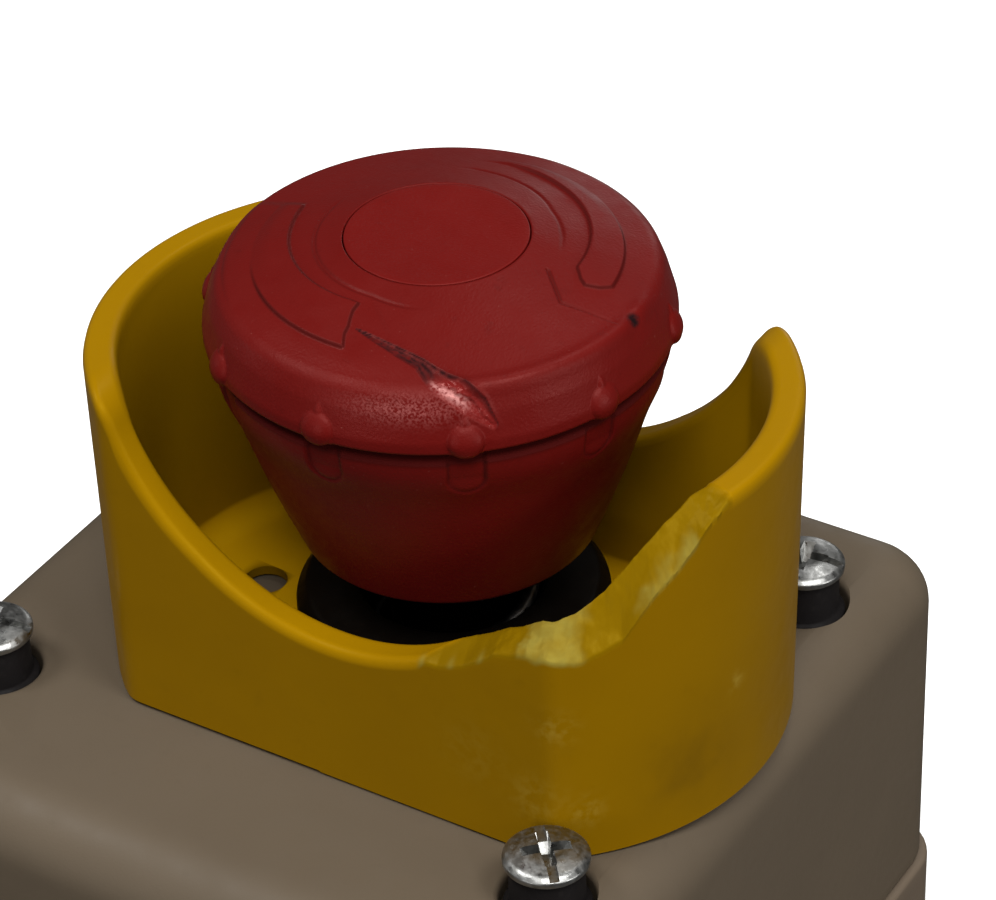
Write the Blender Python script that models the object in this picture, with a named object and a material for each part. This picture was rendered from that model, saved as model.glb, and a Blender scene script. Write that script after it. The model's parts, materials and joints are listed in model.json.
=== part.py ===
"""Emergency stop station: a 40 mm mushroom pushbutton in a yellow guard on a square grey enclosure.

Metres, +Z up. The origin is the centre of the enclosure's flat mounting face, and +Z points out of
the panel along the button's axis. Each function below makes one sub-assembly, and every named mesh
object is one physical piece.
"""

import math

import bmesh
import bpy

MM = 0.001
GAP = 0.3 * MM  # running and seating gap between neighbouring pieces

# Enclosure
BOX_SIDE = 74.6 * MM
BASE_FLARE = 0.6 * MM  # how far the base stands out past the lid on each side
CORNER_RADIUS = 5.5 * MM
TOP_FILLET = 5.5 * MM
WALL = 3.0 * MM
FLOOR = 2.6 * MM
SEAM = 19.0 * MM  # height of the joint between base and lid
PANEL = 55.0 * MM  # height of the lid's top face, on which the operator is mounted
LEFT_SCREWS = (-29.1 * MM, 20.8 * MM)  # the left pair stands nearer the middle line
RIGHT_SCREWS = (29.6 * MM, 22.7 * MM)
SCREW_SPOTS = [(x, side * y) for side in (-1, 1) for x, y in (LEFT_SCREWS, RIGHT_SCREWS)]
SCREW_SEAT = 3.7 * MM  # underside of a screw's head, above the panel
SCREW_CROWN = 5.1 * MM
RECESS_RADIUS = 4.1 * MM
RECESS_DEPTH = 6.0 * MM

# Operator, on its own axis
AXIS_X = 6.7 * MM  # the operator stands off the centre of the lid
PANEL_HOLE = 11.3 * MM  # radius of a 22.5 mm operator hole
CAP_RADIUS = 20.0 * MM
CAP_RIM = 36.7 * MM  # heights below are measured from the panel
CAP_SHOULDER = 42.0 * MM
CAP_TOP = 45.1 * MM
DISC_RADIUS = 8.0 * MM
SKIRT_BOTTOM = 16.3 * MM
SKIRT_BOTTOM_RADIUS = 13.0 * MM
SKIRT_TOP_RADIUS = 19.4 * MM
LUGS = 10
LUG_RADIUS = 1.7 * MM
LUG_REACH = 0.8 * MM  # how far a lug stands out of the rim
LUG_START = math.radians(308)
BEZEL_RADIUS = 13.9 * MM
BEZEL_TOP = 9.5 * MM

# Guard: two arcs joined by flats, with a round scallop across the middle
GUARD_SHIFT = (-0.35 * MM, -0.3 * MM)  # the walls stand a little off the button's axis
GUARD_ARC = 23.6 * MM
GUARD_CENTRE = 7.87 * MM  # each arc's centre, from the middle of the walls
GUARD_HALF_WIDTH = 19.1 * MM
GUARD_WALL = 2.9 * MM
GUARD_FLOOR = 2.0 * MM
GUARD_TOP = 33.0 * MM
SCALLOP_RADIUS = 21.5 * MM
SCALLOP_CENTRE = 36.8 * MM
SHOULDER_RADIUS = 4.0 * MM
GUARD_HOLE_X = 20.6 * MM
GUARD_HOLE_RADIUS = 2.3 * MM

# Contact blocks, below the panel
BLOCK_PITCH = 5.2 * MM
BLOCK_WIDTH = 9.8 * MM
BLOCK_TOP = -24.3 * MM
BLOCK_BOTTOM = -46.3 * MM
SHELF = -33.5 * MM
TOWER_HALF = 9.0 * MM
BLOCK_HALF = 17.0 * MM
POCKET_HALF = 7.2 * MM
POCKET_TOP = -27.0 * MM
POCKET_BOTTOM = -43.8 * MM
TERMINAL_Y = 13.2 * MM
PLUNGER_TOP = -16.8 * MM

FINE = 40  # steps round a large turned piece
COARSE = 16  # steps round a small one

# name: base colour, roughness, metallic
FINISHES = {
    "red": ((0.42, 0.030, 0.022), 0.42, 0.0),
    "yellow": ((0.62, 0.36, 0.010), 0.40, 0.0),
    "grey": ((0.36, 0.33, 0.28), 0.55, 0.0),
    "black": ((0.020, 0.019, 0.018), 0.50, 0.0),
    "rubber": ((0.030, 0.030, 0.030), 0.80, 0.0),
    "nylon": ((0.55, 0.53, 0.47), 0.50, 0.0),
    "zinc": ((0.62, 0.62, 0.60), 0.30, 1.0),
    "spring_steel": ((0.45, 0.45, 0.46), 0.35, 1.0),
    "brass": ((0.70, 0.50, 0.22), 0.35, 1.0),
    "silver": ((0.80, 0.79, 0.76), 0.25, 1.0),
}


def clear_scene():
    for obj in list(bpy.data.objects):
        bpy.data.objects.remove(obj, do_unlink=True)


def finish(name, piece):
    """The piece's own material, in one of the finishes."""
    colour, roughness, metallic = FINISHES[name]
    material = bpy.data.materials.new(piece)
    material.use_nodes = True
    shader = material.node_tree.nodes["Principled BSDF"]
    shader.inputs["Base Color"].default_value = (*colour, 1.0)
    shader.inputs["Roughness"].default_value = roughness
    shader.inputs["Metallic"].default_value = metallic
    material.diffuse_color = (*colour, 1.0)
    return material


def add(name, bm, look, at=(0.0, 0.0, 0.0)):
    """An object made from bm, at a place, in a finish."""
    bmesh.ops.remove_doubles(bm, verts=bm.verts, dist=1e-7)
    bmesh.ops.recalc_face_normals(bm, faces=bm.faces)
    mesh = bpy.data.meshes.new(name)
    bm.to_mesh(mesh)
    bm.free()
    mesh.shade_smooth()
    mesh.set_sharp_from_angle(angle=math.radians(35))
    obj = bpy.data.objects.new(name, mesh)
    obj.location = at
    bpy.context.collection.objects.link(obj)
    obj.data.materials.append(finish(look, name))
    return obj


def combine(obj, bm, operation, at=None):
    """Cuts bm from obj, or joins it to obj. By default bm stands at the object's own place."""
    helper = add(f"{obj.name}_helper", bm, "black", obj.location if at is None else at)
    helper.hide_render = True
    helper.display_type = "WIRE"
    modifier = obj.modifiers.new(operation.lower(), "BOOLEAN")
    modifier.operation = operation
    modifier.solver = "EXACT"
    modifier.object = helper


def cut(obj, bm, at=None):
    combine(obj, bm, "DIFFERENCE", at)


def join(obj, bm, at=None):
    combine(obj, bm, "UNION", at)


def turned(profile, steps=FINE):
    """A closed loop of (radius, height) points, turned about Z."""
    bm = bmesh.new()
    points = [bm.verts.new((radius, 0.0, height)) for radius, height in profile]
    edges = []
    for a, b in zip(points, points[1:] + points[:1]):
        if a.co.x > 0 or b.co.x > 0:
            edges.append(bm.edges.new((a, b)))
    bmesh.ops.spin(
        bm,
        geom=points + edges,
        cent=(0.0, 0.0, 0.0),
        axis=(0.0, 0.0, 1.0),
        angle=math.tau,
        steps=steps,
        use_merge=True,
    )
    return bm


def rod(radius, low, high, steps=COARSE):
    return turned([(0.0, high), (radius, high), (radius, low), (0.0, low)], steps)


def ring(inner, outer, low, high, steps=FINE):
    return turned([(inner, high), (outer, high), (outer, low), (inner, low)], steps)


def lofted(outlines):
    """Outlines of equal point counts, each (points, height), joined from the lowest to the highest."""
    bm = bmesh.new()
    loops = [[bm.verts.new((x, y, z)) for x, y in points] for points, z in outlines]
    for low, high in zip(loops, loops[1:]):
        for i in range(len(low)):
            j = (i + 1) % len(low)
            bm.faces.new((low[i], low[j], high[j], high[i]))
    bm.faces.new(loops[0][::-1])
    bm.faces.new(loops[-1])
    return bm


def prism(points, low, high):
    return lofted([(points, low), (points, high)])


def block(x, y, z):
    """A block that spans each (low, high) pair."""
    return prism([(x[0], y[0]), (x[1], y[0]), (x[1], y[1]), (x[0], y[1])], z[0], z[1])


def rounded_square(side, radius, steps=5):
    """The outline of a square with round corners, anticlockwise."""
    centre = side / 2 - radius
    points = []
    for corner in range(4):
        start = corner * math.pi / 2
        cx = centre * (1 if corner in (0, 3) else -1)
        cy = centre * (1 if corner in (0, 1) else -1)
        for step in range(steps + 1):
            angle = start + step * math.pi / 2 / steps
            points.append((cx + radius * math.cos(angle), cy + radius * math.sin(angle)))
    return points


def square_ring(outer_side, inner_side, low, high):
    """A closed square ring with round corners, as one loop of section joined to itself."""
    outer = rounded_square(outer_side, CORNER_RADIUS)
    inner = rounded_square(inner_side, CORNER_RADIUS / 2)
    bm = bmesh.new()
    loops = []
    for points, z in ((outer, low), (outer, high), (inner, high), (inner, low)):
        loops.append([bm.verts.new((x, y, z)) for x, y in points])
    for first, second in zip(loops, loops[1:] + loops[:1]):
        for i in range(len(first)):
            j = (i + 1) % len(first)
            bm.faces.new((first[i], first[j], second[j], second[i]))
    return bm


def coil(radius, wire, low, high, turns, steps=14, sides=6):
    """A compression spring about Z, wire ends included between low and high."""
    bm = bmesh.new()
    count = round(turns * steps)
    pitch = (high - low - 2 * wire) / turns
    loops = []
    for step in range(count + 1):
        angle = math.tau * step / steps
        z = low + wire + pitch * step / steps
        loop = []
        for side in range(sides):
            around = math.tau * side / sides
            reach = radius + wire * math.cos(around)
            height = z + wire * math.sin(around)
            loop.append(bm.verts.new((reach * math.cos(angle), reach * math.sin(angle), height)))
        loops.append(loop)
    for first, second in zip(loops, loops[1:]):
        for i in range(sides):
            j = (i + 1) % sides
            bm.faces.new((first[i], second[i], second[j], first[j]))
    bm.faces.new(loops[0])
    bm.faces.new(loops[-1][::-1])
    return bm


# --- enclosure -----------------------------------------------------------------------------------


def make_base():
    outer = BOX_SIDE + 2 * BASE_FLARE
    top = SEAM - GAP / 2
    base = add("enclosure_base", prism(rounded_square(outer, CORNER_RADIUS), 0.0, top), "grey")
    inside = outer - 2 * WALL - 2 * BASE_FLARE
    cut(base, prism(rounded_square(inside, CORNER_RADIUS / 2), FLOOR, SEAM + WALL))
    groove_outer = outer - 2.0 * MM
    cut(base, square_ring(groove_outer, groove_outer - 3.2 * MM, top - 1.9 * MM, top + WALL))
    for x, y in SCREW_SPOTS:
        join(base, rod(4.4 * MM, FLOOR / 2, top - 2.2 * MM), (x, y, 0.0))
        cut(base, rod(2.3 * MM, FLOOR + 1.0 * MM, top + WALL), (x, y, 0.0))
    for x in (-20 * MM, 20 * MM):
        cut(base, rod(2.25 * MM, -FLOOR, 2 * FLOOR), (x, 0.0, 0.0))
    cut(base, ring(9.6 * MM, 10.4 * MM, FLOOR - 1.0 * MM, FLOOR + WALL, FINE // 2))


def make_seal():
    side = BOX_SIDE + 2 * BASE_FLARE - 2.0 * MM - 2 * GAP
    top = SEAM - GAP / 2
    add("lid_gasket", square_ring(side, side - 2.0 * MM, top - 1.6 * MM, top - 0.15 * MM), "rubber")


def make_lid():
    low = SEAM + GAP / 2
    outlines = [(rounded_square(BOX_SIDE, CORNER_RADIUS), low)]
    steps = 6
    for step in range(steps + 1):
        angle = step * math.pi / 2 / steps
        inset = TOP_FILLET * (1 - math.cos(angle))
        radius = CORNER_RADIUS - inset * 0.8
        height = PANEL - TOP_FILLET * (1 - math.sin(angle))
        outlines.append((rounded_square(BOX_SIDE - 2 * inset, max(radius, 0.4 * MM)), height))
    lid = add("enclosure_lid", lofted(outlines), "grey")
    inside = BOX_SIDE - 2 * WALL
    cut(lid, prism(rounded_square(inside, CORNER_RADIUS / 2), low - WALL, PANEL - WALL))
    for x, y in SCREW_SPOTS:
        join(lid, rod(5.3 * MM, SEAM + 1.0 * MM, PANEL - WALL / 2), (x, y, 0.0))
        recess = [
            (0.0, PANEL + WALL),
            (RECESS_RADIUS, PANEL + WALL),
            (RECESS_RADIUS, PANEL - RECESS_DEPTH),
            (2.5 * MM, PANEL - RECESS_DEPTH),
            (2.5 * MM, low - WALL),
            (0.0, low - WALL),
        ]
        cut(lid, turned(recess, COARSE), (x, y, 0.0))
        notch_y = (-RECESS_RADIUS - 0.8 * MM, 0.0)
        notch = block((-1.2 * MM, 1.2 * MM), notch_y, (PANEL - 1.5 * MM, PANEL + WALL))
        cut(lid, notch, (x, y, 0.0))
    cut(lid, rod(PANEL_HOLE, PANEL - 2 * WALL, PANEL + WALL, FINE), (AXIS_X, 0.0, 0.0))


def recess_cutter(top, radius, depth):
    """A driver recess that takes both a cross and a flat blade."""
    cross = block((-radius, radius), (-0.45 * MM, 0.45 * MM), (top - depth, top + 1.0 * MM))
    upright = block((-0.5 * MM, 0.5 * MM), (-radius, radius), (top - depth, top + 1.0 * MM))
    return cross, upright


def make_screws():
    """The four captive lid screws and the black sleeves under their heads."""
    seat = PANEL + SCREW_SEAT
    crown = PANEL + SCREW_CROWN
    for number, (x, y) in enumerate(SCREW_SPOTS, 1):
        profile = [
            (0.0, crown),
            (1.9 * MM, crown - 0.1 * MM),
            (3.2 * MM, crown - 0.35 * MM),
            (3.7 * MM, crown - 0.7 * MM),
            (3.7 * MM, seat),
            (2.0 * MM, seat),
            (2.0 * MM, 7.5 * MM),
            (1.2 * MM, 6.0 * MM),
            (0.0, 6.0 * MM),
        ]
        screw = add(f"lid_screw_{number}", turned(profile, COARSE), "zinc", (x, y, 0.0))
        for cutter in recess_cutter(crown, 2.5 * MM, 1.1 * MM):
            cut(screw, cutter)
        flange = RECESS_RADIUS - GAP
        foot = PANEL - RECESS_DEPTH + GAP
        sleeve = [
            (2.35 * MM, seat - GAP),
            (3.2 * MM, seat - GAP),
            (3.2 * MM, PANEL - 0.5 * MM),
            (flange, PANEL - 1.0 * MM),
            (flange, foot),
            (2.35 * MM, foot),
        ]
        add(f"screw_sleeve_{number}", turned(sleeve, COARSE), "rubber", (x, y, 0.0))


# --- guard ---------------------------------------------------------------------------------------


def guard_outline(inset, steps=14):
    """Two arcs joined by flats, anticlockwise, moved in by inset, about the button's axis."""
    radius = GUARD_ARC - inset
    half = GUARD_HALF_WIDTH - inset
    reach = math.asin(half / radius)
    points = []
    for side in (1, -1):
        for step in range(steps + 1):
            angle = -reach + 2 * reach * step / steps
            x = side * (GUARD_CENTRE + radius * math.cos(angle))
            y = side * radius * math.sin(angle)
            points.append((GUARD_SHIFT[0] + x, GUARD_SHIFT[1] + y))
    return points


def scallop_outline(steps=10):
    """The scallop seen along Y: a round hollow that turns over onto the top of each ear."""
    drop = SCALLOP_CENTRE - (GUARD_TOP - SHOULDER_RADIUS)
    spread = SCALLOP_RADIUS + SHOULDER_RADIUS
    shoulder_x = math.sqrt(spread**2 - drop**2)
    turn = math.atan2(shoulder_x, drop)  # from straight down to the line through both centres
    half = []
    for step in range(steps + 1):
        angle = turn * step / steps
        half.append((SCALLOP_RADIUS * math.sin(angle), SCALLOP_CENTRE - SCALLOP_RADIUS * math.cos(angle)))
    for step in range(1, steps // 2 + 1):
        angle = turn * (1 - 2 * step / steps)
        x = shoulder_x - SHOULDER_RADIUS * math.sin(angle)
        half.append((x, GUARD_TOP - SHOULDER_RADIUS + SHOULDER_RADIUS * math.cos(angle)))
    half.append((shoulder_x, GUARD_TOP + SHOULDER_RADIUS))
    return [(-x, z) for x, z in half[:0:-1]] + half


def make_guard():
    at = (AXIS_X, 0.0, PANEL)
    guard = add("guard", prism(guard_outline(0.0), GAP, GUARD_TOP), "yellow", at)
    cut(guard, prism(guard_outline(GUARD_WALL), GAP + GUARD_FLOOR, 2 * GUARD_TOP))
    scallop = bmesh.new()
    ends = []
    for y in (2 * GUARD_HALF_WIDTH, -2 * GUARD_HALF_WIDTH):
        ends.append([scallop.verts.new((GUARD_SHIFT[0] + x, y, z)) for x, z in scallop_outline()])
    scallop.faces.new(ends[0])
    scallop.faces.new(ends[1][::-1])
    for i in range(len(ends[0])):
        j = (i + 1) % len(ends[0])
        scallop.faces.new((ends[0][i], ends[1][i], ends[1][j], ends[0][j]))
    cut(guard, scallop)
    cut(guard, rod(PANEL_HOLE, -2 * GUARD_FLOOR, 2 * GUARD_FLOOR, FINE))
    for x in (-GUARD_HOLE_X, GUARD_HOLE_X):
        cut(guard, rod(GUARD_HOLE_RADIUS, -2 * GUARD_FLOOR, 2 * GUARD_FLOOR), (AXIS_X + x, 0.0, PANEL))


# --- operator ------------------------------------------------------------------------------------


def skirt_radius(height):
    """Outer radius of the gripping skirt, which widens towards the cap."""
    share = (height - SKIRT_BOTTOM) / (CAP_RIM - GAP - SKIRT_BOTTOM)
    spread = SKIRT_TOP_RADIUS - SKIRT_BOTTOM_RADIUS
    return SKIRT_BOTTOM_RADIUS + spread * share + 2.0 * MM * share * (1 - share)


def make_head():
    """The pieces that turn together: cap, skirt, disc, screw, stem and cam sleeve."""
    at = (AXIS_X, 0.0, PANEL)
    boss_bottom = 28.0 * MM
    under_disc = CAP_TOP - 1.7 * MM
    cap_profile = [
        (DISC_RADIUS + 0.15 * MM, CAP_TOP),
        (18.2 * MM, CAP_SHOULDER + 0.3 * MM),
        (18.7 * MM, CAP_SHOULDER - 0.3 * MM),
        (19.6 * MM, 39.4 * MM),
        (CAP_RADIUS, CAP_RIM + 0.9 * MM),
        (CAP_RADIUS, CAP_RIM),
        (17.6 * MM, CAP_RIM),
        (17.0 * MM, 39.6 * MM),
        (4.2 * MM, 41.0 * MM),
        (4.2 * MM, boss_bottom),
        (1.9 * MM, boss_bottom),
        (1.9 * MM, under_disc - 2.6 * MM),
        (3.6 * MM, under_disc - 2.6 * MM),
        (3.6 * MM, under_disc),
        (DISC_RADIUS + 0.15 * MM, under_disc),
    ]
    cap = add("mushroom_cap", turned(cap_profile, 50), "red", at)
    for lug in range(LUGS):
        angle = LUG_START + math.tau * lug / LUGS
        centre = CAP_RADIUS + LUG_REACH - LUG_RADIUS
        spot = (AXIS_X + centre * math.cos(angle), centre * math.sin(angle), PANEL)
        join(cap, rod(LUG_RADIUS, CAP_RIM, CAP_RIM + 2.6 * MM, 12), spot)

    thickness = 1.9 * MM
    heights = [SKIRT_BOTTOM + (CAP_RIM - GAP - SKIRT_BOTTOM) * step / 6 for step in range(7)]
    web = (25.0 * MM, 27.6 * MM)
    outer = [(skirt_radius(z), z) for z in reversed(heights)]
    skirt_profile = outer + [
        (SKIRT_BOTTOM_RADIUS - thickness, SKIRT_BOTTOM),
        (skirt_radius(web[0]) - thickness, web[0]),
        (1.9 * MM, web[0]),
        (1.9 * MM, web[1]),
        (skirt_radius(web[1]) - thickness, web[1]),
        (SKIRT_TOP_RADIUS - thickness, heights[-1]),
    ]
    add("mushroom_skirt", turned(skirt_profile, 50), "red", at)

    disc = rod(DISC_RADIUS - 0.15 * MM, under_disc + GAP, CAP_TOP, FINE)
    add("centre_disc", disc, "red", at)

    head_low = under_disc - 2.6 * MM + GAP
    screw_profile = [
        (0.0, under_disc - GAP),
        (3.2 * MM, under_disc - GAP),
        (3.2 * MM, head_low),
        (1.5 * MM, head_low),
        (1.5 * MM, 17.0 * MM),
        (0.0, 17.0 * MM),
    ]
    cap_screw = add("cap_screw", turned(screw_profile, COARSE), "zinc", at)
    for cutter in recess_cutter(under_disc - GAP, 1.8 * MM, 0.9 * MM):
        cut(cap_screw, cutter)

    stem_top = web[0] - GAP
    stem_profile = [
        (1.85 * MM, stem_top),
        (4.0 * MM, stem_top),
        (4.0 * MM, -14.1 * MM),
        (0.0, -14.1 * MM),
        (0.0, 15.5 * MM),
        (1.85 * MM, 15.5 * MM),
    ]
    add("stem", turned(stem_profile, COARSE), "nylon", at)
    add("cam_sleeve", ring(4.35 * MM, 5.7 * MM, -13.8 * MM, stem_top, COARSE), "nylon", at)


def make_fixed_operator():
    """The pieces clamped to the panel: body, bezel, seal, lock nut, latch ring, spring and adapter."""
    at = (AXIS_X, 0.0, PANEL)
    flange = (4.2 * MM, 5.6 * MM)
    body_profile = [
        (8.0 * MM, BEZEL_TOP - 0.6 * MM),
        (10.6 * MM, BEZEL_TOP - 0.6 * MM),
        (10.6 * MM, flange[1]),
        (12.6 * MM, flange[1]),
        (12.6 * MM, flange[0]),
        (11.0 * MM, flange[0]),
        (11.0 * MM, -14.0 * MM),
        (6.1 * MM, -14.0 * MM),
        (6.1 * MM, -10.8 * MM),
        (8.0 * MM, -10.8 * MM),
    ]
    add("operator_body", turned(body_profile), "black", at)
    bezel_profile = [
        (8.4 * MM, BEZEL_TOP + 0.2 * MM),
        (BEZEL_RADIUS - 1.0 * MM, BEZEL_TOP),
        (BEZEL_RADIUS, BEZEL_TOP - 1.0 * MM),
        (BEZEL_RADIUS, flange[0]),
        (12.9 * MM, flange[0]),
        (12.9 * MM, flange[1] + GAP),
        (10.9 * MM, flange[1] + GAP),
        (10.9 * MM, BEZEL_TOP - 0.3 * MM),
        (8.4 * MM, BEZEL_TOP - 0.3 * MM),
    ]
    add("bezel_ring", turned(bezel_profile), "black", at)
    add("panel_gasket", ring(PANEL_HOLE, 13.6 * MM, 2.6 * MM, 3.9 * MM), "rubber", at)
    add("latch_ring", ring(6.1 * MM, 7.7 * MM, -10.5 * MM, -8.6 * MM, COARSE), "nylon", at)
    spring = coil(7.0 * MM, 0.6 * MM, -8.3 * MM, 24.7 * MM, 6)
    add("return_spring", spring, "spring_steel", at)

    hexagon = []
    for corner in range(6):
        angle = math.radians(60 * corner)
        hexagon.append((17.3 * MM * math.cos(angle), 17.3 * MM * math.sin(angle)))
    nut = add("lock_nut", prism(hexagon, -8.3 * MM, -WALL - GAP), "black", at)
    cut(nut, rod(PANEL_HOLE, -3 * WALL, WALL, FINE))

    half = 15.0 * MM
    plate = block((-half, half), (-half, half), (-24.0 * MM, -8.6 * MM))
    adapter = add("mounting_adapter", plate, "black", at)
    cut(adapter, rod(PANEL_HOLE, -14.4 * MM, 0.0, FINE))
    cut(adapter, rod(9.0 * MM, -30.0 * MM, 0.0, FINE))


def make_push_plate():
    """The plate under the stem that presses both contact plungers and doesn't turn."""
    plate = [
        (0.0, -14.4 * MM),
        (8.4 * MM, -14.4 * MM),
        (8.4 * MM, -16.5 * MM),
        (0.0, -16.5 * MM),
    ]
    add("push_plate", turned(plate), "nylon", (AXIS_X, 0.0, PANEL))


# --- contact blocks ------------------------------------------------------------------------------


def make_contact_block(number, side):
    """One normally closed block; its pocket is open on the outer side, under a cover."""
    middle = AXIS_X + side * BLOCK_PITCH
    at = (middle, 0.0, PANEL)
    half = BLOCK_WIDTH / 2
    width = (-half, half)
    housing = add(
        f"contact_housing_{number}",
        block(width, (-BLOCK_HALF, BLOCK_HALF), (BLOCK_BOTTOM, SHELF)),
        "nylon",
        at,
    )
    join(housing, block(width, (-TOWER_HALF, TOWER_HALF), (SHELF - 2.0 * MM, BLOCK_TOP)))
    back = 1.6 * MM - half
    pocket_x = (back, half + WALL) if side > 0 else (-half - WALL, -back)
    cut(housing, block(pocket_x, (-POCKET_HALF, POCKET_HALF), (POCKET_BOTTOM, POCKET_TOP)))
    stub = 2.3 * MM
    cut(housing, block((-stub, stub), (-stub, stub), (POCKET_TOP - WALL, BLOCK_TOP + WALL)))
    slot_y = (-BLOCK_HALF, BLOCK_HALF)
    slot_z = (SHELF - 0.0005 * MM, -31.9 * MM)
    cut(housing, block((-2.0 * MM, 2.0 * MM), slot_y, slot_z))
    for y in (-TERMINAL_Y, TERMINAL_Y):
        cut(housing, rod(1.6 * MM, BLOCK_BOTTOM + 2.0 * MM, SHELF + WALL, 12), (middle, y, PANEL))

    outer = side * (half + GAP)
    cover_x = sorted((outer, outer + side * 1.0 * MM))
    cover = block(cover_x, (-TOWER_HALF, TOWER_HALF), (BLOCK_BOTTOM, BLOCK_TOP))
    add(f"contact_cover_{number}", cover, "nylon", at)

    post = 1.9 * MM
    plunger = block((-post, post), (-post, post), (-32.9 * MM, PLUNGER_TOP))
    add(f"contact_plunger_{number}", plunger, "red", at)
    bridge = block((-1.5 * MM, 1.5 * MM), (-6.5 * MM, 6.5 * MM), (-34.0 * MM, -33.2 * MM))
    add(f"contact_bridge_{number}", bridge, "silver", at)
    coil_spring = coil(1.7 * MM, 0.25 * MM, POCKET_BOTTOM + GAP, -34.3 * MM, 5, 10, 5)
    add(f"contact_spring_{number}", coil_spring, "spring_steel", at)

    strip_z = (SHELF + GAP + 0.3 * MM, -32.3 * MM)
    for end, direction in (("a", -1), ("b", 1)):
        strip_y = sorted((direction * 4.6 * MM, direction * 16.2 * MM))
        strip = add(
            f"fixed_contact_{number}{end}",
            block((-1.6 * MM, 1.6 * MM), strip_y, strip_z),
            "brass",
            at,
        )
        y = direction * TERMINAL_Y
        cut(strip, rod(1.25 * MM, 2 * SHELF, 0.0, 12), (middle, y, PANEL))
        head_low = strip_z[1] + GAP
        profile = [
            (0.0, head_low + 1.6 * MM),
            (2.2 * MM, head_low + 1.6 * MM),
            (2.2 * MM, head_low),
            (0.95 * MM, head_low),
            (0.95 * MM, -41.0 * MM),
            (0.0, -41.0 * MM),
        ]
        screw = add(f"terminal_screw_{number}{end}", turned(profile, 12), "zinc", (middle, y, PANEL))
        slot = block((-0.35 * MM, 0.35 * MM), (-3.0 * MM, 3.0 * MM), (head_low + 0.9 * MM, 0.0))
        cut(screw, slot)


def main():
    clear_scene()
    make_base()
    make_seal()
    make_lid()
    make_screws()
    make_guard()
    make_fixed_operator()
    make_push_plate()
    make_head()
    make_contact_block(1, -1)
    make_contact_block(2, 1)


main()
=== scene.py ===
"""Looks for the emergency stop station.

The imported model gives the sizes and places. This script covers its visible pieces with fine
surfaces and gives every piece a procedural material. Lengths are in millimetres, measured from the
point where the button's axis crosses the panel, until a mesh is made.
"""

import json
import math

import bmesh
import bpy
import numpy as np
from mathutils import Matrix, Vector, noise


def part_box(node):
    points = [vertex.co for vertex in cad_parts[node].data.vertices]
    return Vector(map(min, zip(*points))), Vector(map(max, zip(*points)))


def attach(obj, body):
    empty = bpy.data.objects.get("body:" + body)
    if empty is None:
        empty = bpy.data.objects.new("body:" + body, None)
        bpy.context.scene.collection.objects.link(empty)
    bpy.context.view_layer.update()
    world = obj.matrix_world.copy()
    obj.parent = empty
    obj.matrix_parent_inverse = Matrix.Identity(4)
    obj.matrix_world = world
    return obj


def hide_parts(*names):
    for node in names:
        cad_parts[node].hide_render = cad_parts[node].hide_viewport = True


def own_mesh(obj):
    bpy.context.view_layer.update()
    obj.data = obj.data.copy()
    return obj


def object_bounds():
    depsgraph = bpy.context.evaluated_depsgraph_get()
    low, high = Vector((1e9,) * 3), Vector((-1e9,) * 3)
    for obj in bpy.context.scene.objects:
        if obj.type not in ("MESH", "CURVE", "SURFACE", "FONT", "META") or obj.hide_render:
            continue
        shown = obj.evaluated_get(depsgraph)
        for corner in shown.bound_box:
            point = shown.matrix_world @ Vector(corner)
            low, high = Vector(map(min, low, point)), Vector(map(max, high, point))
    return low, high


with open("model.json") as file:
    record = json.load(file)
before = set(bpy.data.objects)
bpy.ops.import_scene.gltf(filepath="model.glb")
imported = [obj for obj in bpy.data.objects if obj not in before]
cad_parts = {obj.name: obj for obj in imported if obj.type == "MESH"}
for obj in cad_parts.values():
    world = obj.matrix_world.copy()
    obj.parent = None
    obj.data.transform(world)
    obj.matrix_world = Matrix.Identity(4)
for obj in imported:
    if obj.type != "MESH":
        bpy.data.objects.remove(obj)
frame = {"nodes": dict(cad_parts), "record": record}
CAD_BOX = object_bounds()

MM = 0.001


def box_mm(node):
    low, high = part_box(node)
    return np.array(low) / MM, np.array(high) / MM


BODIES = frame["record"]["behaviour"]["bodies"]

# Places and sizes taken from the frame
DISC_LOW, DISC_HIGH = box_mm("centre_disc")
LID_LOW, LID_HIGH = box_mm("enclosure_lid")
BASE_LOW, BASE_HIGH = box_mm("enclosure_base")
SKIRT_LOW, SKIRT_HIGH = box_mm("mushroom_skirt")
GUARD_LOW, GUARD_HIGH = box_mm("guard")
BEZEL_LOW, BEZEL_HIGH = box_mm("bezel_ring")
ORIGIN = np.array([(DISC_LOW[0] + DISC_HIGH[0]) / 2, 0.0, LID_HIGH[2]])

DISC_TRIM = 0.1  # the disc is this much narrower than in the frame
DISC_RADIUS = (DISC_HIGH[0] - DISC_LOW[0]) / 2 - DISC_TRIM
DISC_GAP = 0.09
SEAT_DEPTH = 1.7  # of the disc's seat in the cap
CAP_TOP = DISC_HIGH[2] - ORIGIN[2]
RIM = 36.7  # underside of the cap
CAP_RADIUS = 20.0
SHOULDER_RADIUS = 18.6
SHOULDER = 42.25
SKIRT_BOTTOM = SKIRT_LOW[2] - ORIGIN[2]
SKIRT_TOP = SKIRT_HIGH[2] - ORIGIN[2]
SKIRT_RADII = (13.0, 19.4)  # at the bottom and at the top
WEB_LOW, WEB_HIGH = 25.0, 27.6  # the skirt's inner floor
LID_SIDE = LID_HIGH[0] - LID_LOW[0]
BASE_SIDE = BASE_HIGH[0] - BASE_LOW[0]
SEAM = LID_LOW[2] - ORIGIN[2]
BASE_TOP = BASE_HIGH[2] - ORIGIN[2]
BASE_BOTTOM = BASE_LOW[2] - ORIGIN[2]

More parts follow.
